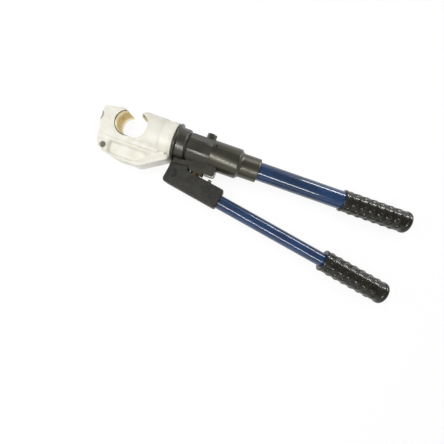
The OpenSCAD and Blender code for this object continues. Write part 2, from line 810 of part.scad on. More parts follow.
// Moulded grip between a flange and a rounded end
module grip_body(r, from) {
    end = from + grip_len;
    turned() polygon(concat(
        [[r + seat_gap, from]],
        arc([grip_flange_r - 1.5, from + 1.5], 1.5, -90, 0, 4),
        [[grip_flange_r, from + grip_flange_t - 1], [grip_r, from + grip_flange_t],
         [grip_r, end - 9], [grip_flange_r, end - 8]],
        arc([grip_flange_r - 5, end - 5], 5, 0, 90, 5),
        [[0, end], [0, end - grip_end], [r + seat_gap, end - grip_end]]
    ));
}

module grip(r, from) {
    color(rubber) grip_body(r, from);
}

module fixed_handle_tube() {
    color(navy) handle_tube(tube_r, spigot_end + 0.2, tube_end);
}

module fixed_handle_grip() {
    grip(tube_r, grip_x);
}

module fixed_tube_plug() {
    tube_plug(tube_r, tube_end);
}

module oil_bladder() {
    mouth = spigot_end + 2;
    shoulder = boss_end + 6;
    end = mouth + bladder_len;
    neck_out = boss_r + 0.02 + bladder_wall;
    color(rubber) turned() polygon(concat(
        [[boss_r + 0.02, mouth], [neck_out, mouth], [neck_out, shoulder - 4], [bladder_r, shoulder]],
        arc([bladder_r - 6, end - 6], 6, 0, 90, 4),
        [[0, end], [0, end - bladder_wall]],
        arc([bladder_r - 6, end - 6], 6 - bladder_wall, 90, 0, 4),
        [[bladder_r - bladder_wall, shoulder + 1], [boss_r + 0.02, shoulder - 3]]
    ));
}

module bladder_clamp() {
    inside = boss_r + 0.05 + bladder_wall;
    color(steel) turned() translate([inside, spigot_end + 4])
        square([tube_r - tube_wall - 0.4 - inside, clamp_w]);
}

// Lever: pivot pin and circlips, bracket with two cheeks, and the roller that drives the plunger
module pivot_pin() {
    color(steel) difference() {
        bar_z(pivot, pivot_r, pin_half);
        for (side = [0, 1]) mirror([0, 0, side])
            translate([pivot.x, pivot.y, bracket_half + 0.2]) difference() {
                cylinder(r = pivot_r + past, h = circlip_t + 0.1);
                translate([0, 0, -past]) cylinder(r = pivot_r - 0.8, h = circlip_t + 3 * past);
            }
    }
}

module pivot_circlips() {
    color(steel) for (side = [0, 1]) mirror([0, 0, side])
        translate([pivot.x, pivot.y, bracket_half + 0.25]) difference() {
            cylinder(r = pivot_r + 2, h = circlip_t);
            translate([0, 0, -past]) cylinder(r = pivot_r - 0.75, h = circlip_t + 2 * past);
            rotate([0, 0, -60]) translate([pivot_r, 0, 0]) cube([2 * pivot_r, 3, 4], center = true);
        }
}

module lever_bracket() {
    drive_local = [drive_x, drive_y];
    color(black) on_lever() difference() {
        union() {
            slab(bracket_corners, bracket_half, bracket_edge);
            slab(hump_corners, bracket_half, bracket_edge);
        }
        translate([bracket_left - past, web_top, -cheek_in])
            cube([channel_end - bracket_left + past, bracket_top - web_top + 20, 2 * cheek_in]);
        translate([0, -handle_drop, 0])
            bar_x([channel_end - 0.5, 0, 0], lever_tube_r + run_gap, bracket_len);
        translate([channel_end, -handle_drop, -finger_wide / 2 - 1])
            cube([2 * finger_half + 1.1, 40, finger_wide / 2 + 1 + finger_side]);
        bar_z([0, 0], pivot_r + run_gap + lever_bush_wall + seat_gap, bracket_half + past);
        bar_z(drive_local, drive_pin_r + seat_gap, bracket_half + past);
        translate([retain_x, -handle_drop, 0]) cylinder(r = retain_r + seat_gap, h = bracket_half + past);
        translate([retain_x, -handle_drop, bracket_half - 2.5]) cylinder(r = retain_head_r + 0.1, h = 4);
    }
}

module lever_bushes() {
    color(brass) for (side = [0, 1]) mirror([0, 0, side])
        translate([pivot.x, pivot.y, cheek_in + 0.02]) difference() {
            cylinder(r = pivot_r + run_gap + lever_bush_wall, h = cheek_t - 0.04);
            translate([0, 0, -past]) cylinder(r = pivot_r + run_gap, h = cheek_t + 2 * past);
        }
}

module drive_pin() {
    color(steel) on_lever() bar_z([drive_x, drive_y], drive_pin_r, bracket_half - 0.3);
}

module drive_roller() {
    color(steel) on_lever() difference() {
        bar_z([drive_x, drive_y], roller_r, cheek_in - 0.3);
        bar_z([drive_x, drive_y], drive_pin_r + seat_gap, cheek_in);
    }
}

module handle_retaining_screw() {
    color(steel) on_handle() translate([retain_x, 0, 0]) difference() {
        union() {
            translate([0, 0, lever_tube_r - tube_wall + 0.2]) cylinder(r = retain_r, h = bracket_half - lever_tube_r);
            translate([0, 0, bracket_half - 2.45]) cylinder(r = retain_head_r, h = 2.2);
        }
        translate([0, 0, bracket_half - 1.6]) cylinder(r = 2, h = 3, $fn = 6);
    }
}

// Plunger and the slotted yoke on its foot
module pump_plunger() {
    color(steel) difference() {
        translate([plunger_x, plunger_foot, 0]) rotate([-90, 0, 0]) rotate_extrude() polygon([
            [0, 0], [plunger_r, 0], [plunger_r, plunger_top - plunger_foot - 1],
            [plunger_r - 1, plunger_top - plunger_foot], [0, plunger_top - plunger_foot]
        ]);
        bar_z([plunger_x, dowel_y], dowel_r + seat_gap, plunger_r + past);
    }
}

module plunger_yoke() {
    slot_y = drive_at.y;
    half_x = slot_half_len + yoke_wall;
    half_y = slot_half_h + yoke_wall;
    color(brass) difference() {
        union() {
            translate([plunger_x, slot_y, 0]) linear_extrude(2 * yoke_half, center = true) union() {
                square([2 * half_x - 6, 2 * half_y], center = true);
                square([2 * half_x, 2 * half_y - 6], center = true);
                for (i = [-1, 1], j = [-1, 1]) translate([i * (half_x - 3), j * (half_y - 3)]) circle(r = 3);
            }
            bar_y([plunger_x, yoke_top - past, 0], yoke_boss_r, yoke_boss_h + past);
        }
        translate([plunger_x, slot_y, 0]) linear_extrude(3 * yoke_half, center = true) union() {
            square([2 * (slot_half_len - slot_half_h), 2 * slot_half_h], center = true);
            for (i = [-1, 1]) translate([i * (slot_half_len - slot_half_h), 0]) circle(r = slot_half_h);
        }
        bar_y([plunger_x, plunger_foot - 0.05, 0], plunger_r + seat_gap, 40);
        bar_z([plunger_x, dowel_y], dowel_r + seat_gap, yoke_boss_r + past);
    }
}

module yoke_dowel() {
    color(steel) bar_z([plunger_x, dowel_y], dowel_r, yoke_boss_r - 0.6);
}

// Moving handle: it twists in the bracket, and its finger then meets the release valve's stem
module release_finger() {
    tip = finger_wide / 2;
    color(steel) on_handle() {
        bar_x([finger_x - finger_half, 0, 0], lever_tube_r - 0.1, 2 * finger_half);
        bar_x([finger_x + finger_half - past, 0, 0], lever_tube_r - tube_wall - seat_gap,
            stub_end - finger_x - finger_half + past);
        translate([finger_x - finger_half, 0, 0]) rotate([0, 90, 0]) linear_extrude(2 * finger_half) union() {
            translate([-tip, 0]) square([2 * tip, finger_reach - tip]);
            translate([0, finger_reach - tip]) circle(r = tip);
        }
    }
}

module moving_handle_tube() {
    slot_half = retain_r + 0.3;
    slot_play_angle = asin(slot_half / (lever_tube_r - tube_wall));
    color(navy) on_handle() difference() {
        handle_tube(lever_tube_r, tube_start, lever_tube_end);
        translate([retain_x - slot_half, 0, 0]) rotate([0, 90, 0]) rotate([0, 0, 180 - twist_angle - slot_play_angle])
            rotate_extrude(angle = twist_angle + 2 * slot_play_angle)
                translate([lever_tube_r - tube_wall - past, 0])
                    square([tube_wall + 2 * past, 2 * slot_half]);
    }
}

module moving_handle_grip() {
    on_handle() grip(lever_tube_r, lever_grip_x);
}

module moving_tube_plug() {
    on_handle() tube_plug(lever_tube_r, lever_tube_end);
}

crimp_head();
ram_wiper();
swivel_screws();
die_release_button();
die_button_spring();
ram();
ram_seal();
ram_spring_pin();
ram_return_spring();
pump_body();
nose_seal();
swivel_washer();
swivel_collar();
spring_anchor_pin();
valve_balls();
valve_springs();
valve_plugs();
relief_valve_cap();
plunger_bush();
plunger_seal();
release_valve_gland();
release_valve_stem();
release_valve_spring();
handle_socket();
socket_lock_screw();
fixed_handle_tube();
fixed_handle_grip();
oil_bladder();
bladder_clamp();
fixed_tube_plug();
pivot_pin();
pivot_circlips();
lever_bracket();
lever_bushes();
drive_pin();
drive_roller();
handle_retaining_screw();
pump_plunger();
plunger_yoke();
yoke_dowel();
release_finger();
moving_handle_tube();
moving_handle_grip();
moving_tube_plug();
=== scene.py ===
# %% [markdown]
# # A hydraulic crimping tool on a white table
#
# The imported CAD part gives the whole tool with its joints, so every piece is already in its place. This
# lesson dresses it: a satin head with gold die seats, black enamel on the pump and the lever, glossy navy
# tubes, and two rubber grips with staggered bumps. Blender works in metres, in the frame of the CAD part.
# Small sizes are written in millimetres and turned into metres with MM.

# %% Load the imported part
import json
import math

import bpy
from mathutils import Matrix, Vector

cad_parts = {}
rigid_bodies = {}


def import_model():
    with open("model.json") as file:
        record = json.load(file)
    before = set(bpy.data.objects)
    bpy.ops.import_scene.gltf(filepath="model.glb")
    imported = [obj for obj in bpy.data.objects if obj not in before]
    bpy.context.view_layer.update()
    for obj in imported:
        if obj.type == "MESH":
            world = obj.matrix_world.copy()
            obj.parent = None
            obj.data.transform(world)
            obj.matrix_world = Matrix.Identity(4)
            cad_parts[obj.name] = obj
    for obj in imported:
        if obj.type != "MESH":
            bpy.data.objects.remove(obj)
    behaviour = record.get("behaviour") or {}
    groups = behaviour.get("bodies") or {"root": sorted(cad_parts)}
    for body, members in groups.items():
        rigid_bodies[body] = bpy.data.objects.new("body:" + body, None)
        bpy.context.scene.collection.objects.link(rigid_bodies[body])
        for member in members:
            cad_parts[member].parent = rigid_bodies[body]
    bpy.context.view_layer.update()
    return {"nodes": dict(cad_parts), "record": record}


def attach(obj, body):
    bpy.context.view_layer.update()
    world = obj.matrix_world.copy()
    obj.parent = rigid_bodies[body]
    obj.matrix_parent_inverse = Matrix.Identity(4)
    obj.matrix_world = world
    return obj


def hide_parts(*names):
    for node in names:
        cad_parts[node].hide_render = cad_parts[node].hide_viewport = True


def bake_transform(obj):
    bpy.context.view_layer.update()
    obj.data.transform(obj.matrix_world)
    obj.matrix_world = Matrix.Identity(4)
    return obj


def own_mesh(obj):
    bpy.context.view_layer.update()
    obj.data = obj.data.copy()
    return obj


MM = 0.001

for leftover in list(bpy.data.objects):
    bpy.data.objects.remove(leftover, do_unlink=True)

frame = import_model()
nodes = frame["nodes"]

# %% [markdown]
# ## Satin nickel on the head
#
# The jaw and its cylinder are one steel forging, blasted and then plated, which looks pale and even. A full
# metal shader would mirror the dim room and turn grey, so the plate is made as a pale surface with a broad
# sheen. Its colour is picked the way a paint chart gives it, as an sRGB hex value, and turned into the
# linear colour that a shader needs. Each material of the tool starts this way, as one Principled shader.


# %% Nickel plate
def linear(hex_code):
    """Linear RGBA from an sRGB hex code."""
    values = [int(hex_code[i:i + 2], 16) / 255 for i in (0, 2, 4)]
    return [v / 12.92 if v <= 0.04045 else ((v + 0.055) / 1.055) ** 2.4 for v in values] + [1.0]


def new_material(name, hex_code, metallic, roughness, coat=0.0, coat_roughness=0.05, specular=0.5,
                 tint="FFFFFF"):
    """A Principled material with its constant values set on the shader's own sockets."""
    material = bpy.data.materials.new(name)
    material.use_nodes = True
    shader = material.node_tree.nodes["Principled BSDF"]
    shader.inputs["Base Color"].default_value = linear(hex_code)
    shader.inputs["Metallic"].default_value = metallic
    shader.inputs["Roughness"].default_value = roughness
    shader.inputs["Specular IOR Level"].default_value = specular
    shader.inputs["Specular Tint"].default_value = linear(tint)
    shader.inputs["Coat Weight"].default_value = coat
    shader.inputs["Coat Roughness"].default_value = coat_roughness
    return material


# Nickel over a blasted forging: nearly white, with a soft sheen and no mirror image.
nickel = new_material("satin_nickel_plate", "EDEBDE", metallic=0.0, roughness=0.42)
print("made", nickel.name)

# %% [markdown]
# ## Grain and handling marks
#
# No cast, painted or moulded surface is perfectly even. Pits and specks could be sculpted, but most are
# smaller than a pixel. A fine noise on the bump socket gives the same broken light, and a broad noise makes
# the colour a little lighter and darker, as handling and oil do. Both read object coordinates, so they stay
# on the piece when it moves. Real grain is about a tenth of a millimetre, too fine to show here, so it is
# drawn several times as coarse on every finish.


# %% Grain on the plate
def add_node(material, kind, settings=None, links=None):
    """Add a shader node, set its properties and sockets, and link outputs of other nodes into it."""
    node = material.node_tree.nodes.new(kind)
    for key, value in (settings or {}).items():
        if isinstance(key, str) and hasattr(node, key):
            setattr(node, key, value)
        else:
            node.inputs[key].default_value = value
    for key, output in (links or {}).items():
        material.node_tree.links.new(output, node.inputs[key])
    return node


def drive(material, socket, output):
    """Feed one of the shader's sockets from a node's output."""
    shader = material.node_tree.nodes["Principled BSDF"]
    material.node_tree.links.new(output, shader.inputs[socket])


def add_surface(material, grain_mm, depth_mm, patch_mm, light_hex, dark_hex):
    """Grain of a real size in the bump, and broad patches between two close colours. Returns the colour."""
    place = add_node(material, "ShaderNodeTexCoord").outputs["Object"]
    grain = add_node(material, "ShaderNodeTexNoise", {"Scale": 1 / (grain_mm * MM), "Detail": 3.0},
                     {"Vector": place})
    bump = add_node(material, "ShaderNodeBump", {"Strength": 1.0, "Distance": depth_mm * MM},
                    {"Height": grain.outputs["Fac"]})
    drive(material, "Normal", bump.outputs["Normal"])
    patch = add_node(material, "ShaderNodeTexNoise", {"Scale": 1 / (patch_mm * MM), "Detail": 2.0},
                     {"Vector": place})
    # Noise seldom leaves the middle of its range, so that part is stretched over the two colours.
    spread = add_node(material, "ShaderNodeMapRange", {"From Min": 0.35, "From Max": 0.65},
                      {"Value": patch.outputs["Fac"]})
    colour = add_node(material, "ShaderNodeMix",
                      {"data_type": "RGBA", "A": linear(dark_hex), "B": linear(light_hex)},
                      {"Factor": spread.outputs["Result"]})
    drive(material, "Base Color", colour.outputs["Result"])
    return colour.outputs["Result"]


plate = add_surface(nickel, grain_mm=0.9, depth_mm=0.02, patch_mm=14, light_hex="F1EFE4", dark_hex="E6E3D3")
print("grain on", nickel.name, "with", len(nickel.node_tree.nodes), "nodes so far")

# %% [markdown]
# ## Thumb scoops and tether hole
#
# The jaw's front has a scooped hollow on either side of its die button, and a hole for a tether. Both are
# painted a little darker than the faces round them, as painted shade for the shadow that falls into a hollow.
# They could be given faces with materials of their own, but the CAD mesh stays as it is, so the shader finds
# them by place: a zone is what lies within a radius of an axis along Z, or of a point for a ball.


# %% Zones by distance, and the scoops
def add_zone(material, colour, centre_mm, radius_mm, paint, ball=False, bare_metal=False, beyond_mm=-0.01):
    """Paint a hex colour or a node's output over what lies within a radius. Returns the new colour.

    Only what lies further than beyond_mm from the middle plane is painted, which just below nought is
    everything. With bare_metal the whole radius is metallic.
    """
    place = add_node(material, "ShaderNodeTexCoord").outputs["Object"]
    centre = [value * MM for value in centre_mm]
    shift = add_node(material, "ShaderNodeVectorMath", {"operation": "SUBTRACT", 1: centre}, {0: place})
    flat = add_node(material, "ShaderNodeVectorMath", {"operation": "MULTIPLY", 1: (1, 1, int(ball))},
                    {0: shift.outputs["Vector"]})
    far = add_node(material, "ShaderNodeVectorMath", {"operation": "LENGTH"}, {0: flat.outputs["Vector"]})
    near = add_node(material, "ShaderNodeMath", {"operation": "LESS_THAN", 1: radius_mm * MM},
                    {0: far.outputs["Value"]})
    height = add_node(material, "ShaderNodeSeparateXYZ", None, {"Vector": place})
    side = add_node(material, "ShaderNodeMath", {"operation": "ABSOLUTE"}, {0: height.outputs["Z"]})
    outer = add_node(material, "ShaderNodeMath", {"operation": "GREATER_THAN", 1: beyond_mm * MM},
                     {0: side.outputs["Value"]})
    inside = add_node(material, "ShaderNodeMath", {"operation": "MULTIPLY"},
                      {0: near.outputs["Value"], 1: outer.outputs["Value"]})
    mix = add_node(material, "ShaderNodeMix", {"data_type": "RGBA"},
                   {"Factor": inside.outputs["Value"], "A": colour})
    if isinstance(paint, str):
        mix.inputs["B"].default_value = linear(paint)
    else:
        material.node_tree.links.new(paint, mix.inputs["B"])
    drive(material, "Base Color", mix.outputs["Result"])
    if bare_metal:
        drive(material, "Metallic", near.outputs["Value"])
    return mix.outputs["Result"]


# Each zone reaches a hair past its wall, so that the wall itself is surely inside.
SCOOP_X, SCOOP_Y, SCOOP_Z = -49.5, -1, 28
SCOOP_RADIUS = 13
SCOOP_ZONE = SCOOP_RADIUS + 0.2
# Painted shade: a grey that stands in for the shadow inside each scoop.
SCOOP_PAINTED_SHADE = "98968B"
for side in (1, -1):
    scoop = (SCOOP_X, SCOOP_Y, side * SCOOP_Z)
    plate = add_zone(nickel, plate, scoop, SCOOP_ZONE, SCOOP_PAINTED_SHADE, ball=True)
print("shaded two scoops of radius", SCOOP_RADIUS, "mm")

# %% Tether hole
TETHER_HOLE = (-27, -44.5, 0)
TETHER_RADIUS = 4.75
TETHER_ZONE = TETHER_RADIUS + 0.1
# Painted shade: a slightly darker grey on the bore's wall, standing in for the shadow inside the hole.
TETHER_PAINTED_SHADE = "DAD7CA"
plate = add_zone(nickel, plate, TETHER_HOLE, TETHER_ZONE, TETHER_PAINTED_SHADE)
print("shaded the tether hole of radius", TETHER_RADIUS, "mm")

# %% [markdown]
# ## Gold die seats
#
# The round seats that hold the dies are bored to size and keep a gold finish, with rings left by the boring
# tool across the wall. A paler band toward the open ends is a painted highlight, where light reaches into the
# seat's mouth, and a thin dark line round the edge is painted shadow on its chamfer. An insert of its own
# would be a piece that the tool lacks, so the seat is painted on the solid, again by distance from its axis.
# The rings are bands of a wave along that axis.

# %% Bored gold
GOLD = "D6BF82"
PAINTED_HIGHLIGHT_GOLD = "EDE2BF"
RING_GOLD = "AC9153"
# Real boring marks are finer than a pixel, so the rings are drawn this far apart.
RING_PITCH = 5.0
# Painted highlight: between these depths from the middle plane the gold turns paler, toward the seat's
# mouths.
HIGHLIGHT_FROM = 9
HIGHLIGHT_TO = 14
# The wave's own band spacing at a scale of 1.
WAVE_SPACING = 2 * math.pi / 20


def bored_gold(material):
    """Gold in fine rings across a seat's wall, with a painted highlight that turns it paler toward the wall's
    two open ends.
    """
    place = add_node(material, "ShaderNodeTexCoord").outputs["Object"]
    rings = add_node(material, "ShaderNodeTexWave",
                     {"bands_direction": "Z", "Scale": WAVE_SPACING / (RING_PITCH * MM),
                      "Distortion": 2.5, "Detail": 2.0, "Detail Scale": 0.4}, {"Vector": place})
    gold = add_node(material, "ShaderNodeMix",
                    {"data_type": "RGBA", "A": linear(RING_GOLD), "B": linear(GOLD)},
                    {"Factor": rings.outputs["Fac"]})
    height = add_node(material, "ShaderNodeSeparateXYZ", None, {"Vector": place})
    depth = add_node(material, "ShaderNodeMath", {"operation": "ABSOLUTE"}, {0: height.outputs["Z"]})
    painted_highlight = add_node(material, "ShaderNodeMapRange", {"From Min": HIGHLIGHT_FROM * MM, "From Max": HIGHLIGHT_TO * MM},
                    {"Value": depth.outputs["Value"]})
    mix = add_node(material, "ShaderNodeMix", {"data_type": "RGBA", "B": linear(PAINTED_HIGHLIGHT_GOLD)},
                   {"Factor": painted_highlight.outputs["Result"], "A": gold.outputs["Result"]})
    return mix.outputs["Result"]


print("gold rings every", RING_PITCH, "mm, paler from", HIGHLIGHT_FROM, "to", HIGHLIGHT_TO, "mm")

# %% Seat in the jaw
SEAT_RADIUS = 19.05
SEAT_ZONE = SEAT_RADIUS + 0.25
RIM_ZONE = SEAT_RADIUS + 1.5
# The dark line is painted shadow on the chamfer at the seat's edge, and lies at the open ends of the seat
# only.
RIM_FROM = 18.29
RIM_PAINTED_SHADOW = "3E3018"
ANVIL_SEAT = (0, 0, 0)
RAM_SEAT = (16, 0, 0)
# The edge of the jaw that faces the ram's seat is painted a duller gold, as painted shade for the shadowed
# pocket there.
DULL_ZONE = SEAT_RADIUS + 1.25
DULL_GOLD_PAINTED_SHADE = "AFA380"

# Painted shade: the duller gold in the pocket by the ram's seat.
plate = add_zone(nickel, plate, RAM_SEAT, DULL_ZONE, DULL_GOLD_PAINTED_SHADE)
plate = add_zone(nickel, plate, ANVIL_SEAT, RIM_ZONE, GOLD, bare_metal=True)
# Painted shadow: the dark line on the chamfer round the jaw's seat.
plate = add_zone(nickel, plate, ANVIL_SEAT, RIM_ZONE, RIM_PAINTED_SHADOW, beyond_mm=RIM_FROM)
plate = add_zone(nickel, plate, ANVIL_SEAT, SEAT_ZONE, bored_gold(nickel))
print("gold seat in the jaw, radius", SEAT_RADIUS, "mm")

# %% [markdown]
# ## The ram
#
# The ram is turned and ground steel with the same plating, so it is a little smoother than the forging. Its
# nose holds the second gold seat. At rest that seat's axis lies on the far side of the throat, and since
# the zone is in the ram's own coordinates, it moves with the ram.

# %% Ram plate and its seat
RAM_RIM_ZONE = SEAT_RADIUS + 0.65

# Nickel over ground steel: the same pale colour with shallower grain and a slightly tighter sheen.
ram_nickel = new_material("satin_nickel_ram", "E9E7DA", metallic=0.0, roughness=0.36)
face = add_surface(ram_nickel, grain_mm=0.9, depth_mm=0.012, patch_mm=14, light_hex="EEECE0",
                   dark_hex="E2DFD0")
# Painted shadow: the dark line on the chamfer round the ram's seat.
face = add_zone(ram_nickel, face, RAM_SEAT, RAM_RIM_ZONE, RIM_PAINTED_SHADOW, bare_metal=True, beyond_mm=RIM_FROM)
face = add_zone(ram_nickel, face, RAM_SEAT, SEAT_ZONE, bored_gold(ram_nickel))
print("made", ram_nickel.name, "with its gold seat at x", RAM_SEAT[0], "mm")

# %% [markdown]
# ## Black enamel, wrinkle enamel and nylon
#
# The pump and the collar are machined steel under black enamel. The lever's bracket has a coarser wrinkle
# enamel, and the handle's socket is moulded nylon. One black for all would look like plastic, so each has
# its own grain and gloss. A deep bump breaks up the light on the wrinkle enamel, and a soft clear coat
# gives the others their broad highlights, with an olive cast as on old black paint.

# %% Three blacks
# Sprayed enamel: even, half gloss, with wide soft highlights.
enamel = new_material("black_enamel", "2D2C22", metallic=0.0, roughness=0.36, coat=0.25, coat_roughness=0.3,
                      specular=0.7, tint="F2F0E4")
add_surface(enamel, grain_mm=1.1, depth_mm=0.02, patch_mm=22, light_hex="343327", dark_hex="25241B")

# Wrinkle enamel: a rough skin without clear highlights, which reads as the darkest black.
wrinkle = new_material("black_wrinkle_enamel", "25241C", metallic=0.0, roughness=0.5, coat=0.1,
                       coat_roughness=0.3, specular=0.35)
add_surface(wrinkle, grain_mm=1.8, depth_mm=0.22, patch_mm=7, light_hex="2F2D21", dark_hex="1A1912")

# Moulded nylon: smooth and slightly waxy, so its highlights are softer still and a little warm.
nylon = new_material("black_moulded_nylon", "2A291D", metallic=0.0, roughness=0.36, coat=0.25,
                     coat_roughness=0.28, specular=0.75, tint="EFECD8")
add_surface(nylon, grain_mm=1.0, depth_mm=0.012, patch_mm=25, light_hex="302E21", dark_hex="222117")
print("made", enamel.name, wrinkle.name, "and", nylon.name)

# %% [markdown]
# ## Navy enamel on the tubes
#
# Both tubes carry a thick stoved enamel in dark blue. Its look is a deep colour under a clear layer, with
# thin bright lines where it mirrors the lights. So the base is dark and dull, and a clear coat with little
# roughness does the mirroring.

# %% Navy
# Stoved enamel: a deep blue under a glassy layer that draws sharp lines of light.
navy = new_material("navy_gloss_enamel", "1A3A68", metallic=0.0, roughness=0.3, coat=0.9, coat_roughness=0.07,
                    specular=0.2)
add_surface(navy, grain_mm=3.0, depth_mm=0.0005, patch_mm=40, light_hex="1D3F6C", dark_hex="163256")
print("made", navy.name)

# %% [markdown]
# ## Bare metals
#
# Springs, pins and valve pieces are bright steel, the yoke and the bush of the plunger are brass, and the
# screws and pins that show on the black pieces are blackened with an oxide. These are true metals, so the
# metallic value does the work and the colour is what they mirror.

# %% Steel, black oxide and brass
# Ground steel: a neutral grey mirror that is blurred by fine scratches.
steel = new_material("bright_steel", "BDBCB5", metallic=1.0, roughness=0.3)
add_surface(steel, grain_mm=0.6, depth_mm=0.004, patch_mm=8, light_hex="C4C3BC", dark_hex="AFAEA7")

# Black oxide: a thin dark skin, half metal to the eye.
oxide = new_material("black_oxide_steel", "2B2B28", metallic=0.4, roughness=0.4)
add_surface(oxide, grain_mm=0.8, depth_mm=0.006, patch_mm=9, light_hex="31312D", dark_hex="252522")

# Yellow brass: a warm mirror, the only strong colour between the black pieces.
brass = new_material("yellow_brass", "E0C27A", metallic=1.0, roughness=0.3)
add_surface(brass, grain_mm=0.7, depth_mm=0.004, patch_mm=9, light_hex="E8CC87", dark_hex="D0AE63")
print("made", steel.name, oxide.name, "and", brass.name)

# %% [markdown]
# ## Rubber
#
# The grips are moulded from black rubber that is polished by use, so each bump carries a small glint. The
# seals are plain matt rubber. The glint could come from a low roughness, but then the whole grip would
# mirror the room, so it comes from a thin coat over a duller base.

# %% Grip rubber and seal rubber
# Grip rubber: black, with a worn shine that puts a small glint on every bump.
rubber = new_material("black_grip_rubber", "24221A", metallic=0.0, roughness=0.32, coat=0.45,
                      coat_roughness=0.08, specular=0.2)
add_surface(rubber, grain_mm=0.8, depth_mm=0.006, patch_mm=18, light_hex="2A281E", dark_hex="1A1912")

# Seal rubber: matt and nearly black.
seal = new_material("black_seal_rubber", "171716", metallic=0.0, roughness=0.6)
add_surface(seal, grain_mm=0.6, depth_mm=0.01, patch_mm=8, light_hex="1C1C1B", dark_hex="131312")
print("made", rubber.name, "and", seal.name)

# %% [markdown]
# ## Dress the nodes
#
# The record gives each node a material slot, so most nodes take the finish of their slot. A few look
# different from the rest of their slot, such as the blackened screws, and have their own line here. Only
# the material changes, and the CAD meshes stay as they are.

# %% Give each node its finish
by_slot = {"satin_nickel": nickel, "black_enamel": enamel, "bare_steel": steel, "brass": brass,
           "navy_enamel": navy, "grip_rubber": rubber, "seal_rubber": seal}
own_finish = {"ram": ram_nickel, "swivel_screws": nickel, "lever_bracket": wrinkle, "handle_socket": nylon}
blackened = ("swivel_washer", "lever_bushes", "pivot_pin", "pivot_circlips", "drive_pin",
             "handle_retaining_screw", "socket_lock_screw")
for name in blackened:
    own_finish[name] = oxide

slot_of = {entry["node"]: entry["material_slot"] for entry in frame["record"]["subparts"]}
for name, node in nodes.items():
    node.data.materials.clear()
    node.data.materials.append(own_finish.get(name, by_slot[slot_of[name]]))
print("dressed", len(nodes), "nodes,", len(own_finish), "of them with a finish of their own")

# %% [markdown]
# ## Edges
#
# Real edges are never knife sharp: castings are rounded, and machined edges are broken. Rounding them in
# the CAD part would cost many faces, and a bevel shader would not show in the exported mesh. A small bevel
# modifier gives each edge a narrow face that catches the light. A CAD mesh is loose triangles, so a weld
# joins them first.

# %% Bevel the machined and cast nodes
EDGE_MM = {"pump_body": 0.5, "lever_bracket": 0.5, "handle_socket": 0.4, "relief_valve_cap": 0.5,
           "release_finger": 0.4, "plunger_yoke": 0.4, "ram": 0.3, "swivel_collar": 0.2, "crimp_head": 0.7}
WELD_WITHIN = 0.002
SHARP_FROM = math.radians(40)

for name, width in EDGE_MM.items():
    weld = nodes[name].modifiers.new("weld", "WELD")
    weld.merge_threshold = WELD_WITHIN * MM
    bevel = nodes[name].modifiers.new("edge", "BEVEL")
    bevel.width = width * MM
    bevel.segments = 2
    bevel.limit_method = "ANGLE"
    bevel.angle_limit = SHARP_FROM
    bevel.use_clamp_overlap = True
    bevel.harden_normals = True
print("bevelled", len(EDGE_MM), "nodes")

# %% [markdown]
# ## Section of a grip
#
# Each grip is a moulded rubber sleeve with a flange at its mouth and a rounded, closed end. It could be
# spun from its section, but the bumps that come next need a dense and regular mesh. So the section is drawn
# as a line, from the inside of the closed end up the bore, round the mouth and back along the outside, and
# then divided into equal steps.

# %% The section's sizes, in millimetres
GRIP_LENGTH = 113.5
GRIP_RADIUS = 17.35
FLANGE_RADIUS = 18.25
MOUTH_X = 0.05
MOUTH_ROUND = 1.2
FLANGE_BACK_X = 3.2
FLANGE_BACK_ROUND = 1.0
SLEEVE_X = 5.2
END_X = GRIP_LENGTH - 0.1
BEAD_STARTS = 8.6
BEAD_FULL = 7.6
END_ROUND = 4.6
CAP_THICKNESS = 5.0
# A hair off the axis, so that the points there merge into one pole.
ON_AXIS = 0.01
FIXED_BORE = 15.4
MOVING_BORE = 11.75


def arc(centre_x, centre_r, radius, start, end, steps):
    """Points [x, r] of an arc in the section's plane, with angles in degrees from the X direction."""
    angles = [math.radians(start + (end - start) * i / steps) for i in range(steps + 1)]
    return [[centre_x + radius * math.cos(a), centre_r + radius * math.sin(a)] for a in angles]


def grip_section(bore):
    """The grip's closed section as [x, r]: up the bore, round the mouth and back along the outside."""
    inside_x = END_X - CAP_THICKNESS
    points = [[inside_x, ON_AXIS], [inside_x, bore], [MOUTH_X, bore]]
    points += arc(MOUTH_X + MOUTH_ROUND, FLANGE_RADIUS - MOUTH_ROUND, MOUTH_ROUND, 180, 90, 5)
    points += arc(FLANGE_BACK_X, FLANGE_RADIUS - FLANGE_BACK_ROUND, FLANGE_BACK_ROUND, 90, 10, 4)
    points += [[SLEEVE_X, GRIP_RADIUS], [END_X - BEAD_STARTS, GRIP_RADIUS]]
    points += [[END_X - BEAD_FULL, FLANGE_RADIUS]]
    points += arc(END_X - END_ROUND, FLANGE_RADIUS - END_ROUND, END_ROUND, 90, 0, 8)
    return points + [[END_X, ON_AXIS]]


print("section of", len(grip_section(FIXED_BORE)), "points")


# %% Equal steps along the section
def equal_steps(points, count):
    """Points spread evenly along a line of points."""
    lengths = [0.0]
    for a, b in zip(points, points[1:]):
        lengths.append(lengths[-1] + math.dist(a, b))
    spread = []
    step = 0
    for i in range(count + 1):
        want = lengths[-1] * i / count
        while step < len(points) - 2 and lengths[step + 1] < want:
            step += 1
        share = (want - lengths[step]) / max(lengths[step + 1] - lengths[step], 1e-9)
        a, b = points[step], points[step + 1]
        spread.append([a[0] + (b[0] - a[0]) * share, a[1] + (b[1] - a[1]) * share])
    return spread


ALONG = 500
print("divided into", len(equal_steps(grip_section(FIXED_BORE), ALONG)) - 1, "steps")

# %% [markdown]
# ## Bumps
#
# The grip is covered with round bumps in columns, each column shifted by half a step against the next.
# Bumps could be modelled one by one and joined on, which leaves seams, or drawn in the material, which
# leaves a smooth outline. Here a formula gives the height of the nearest bump at any place, and the mesh
# is pushed out by that much.

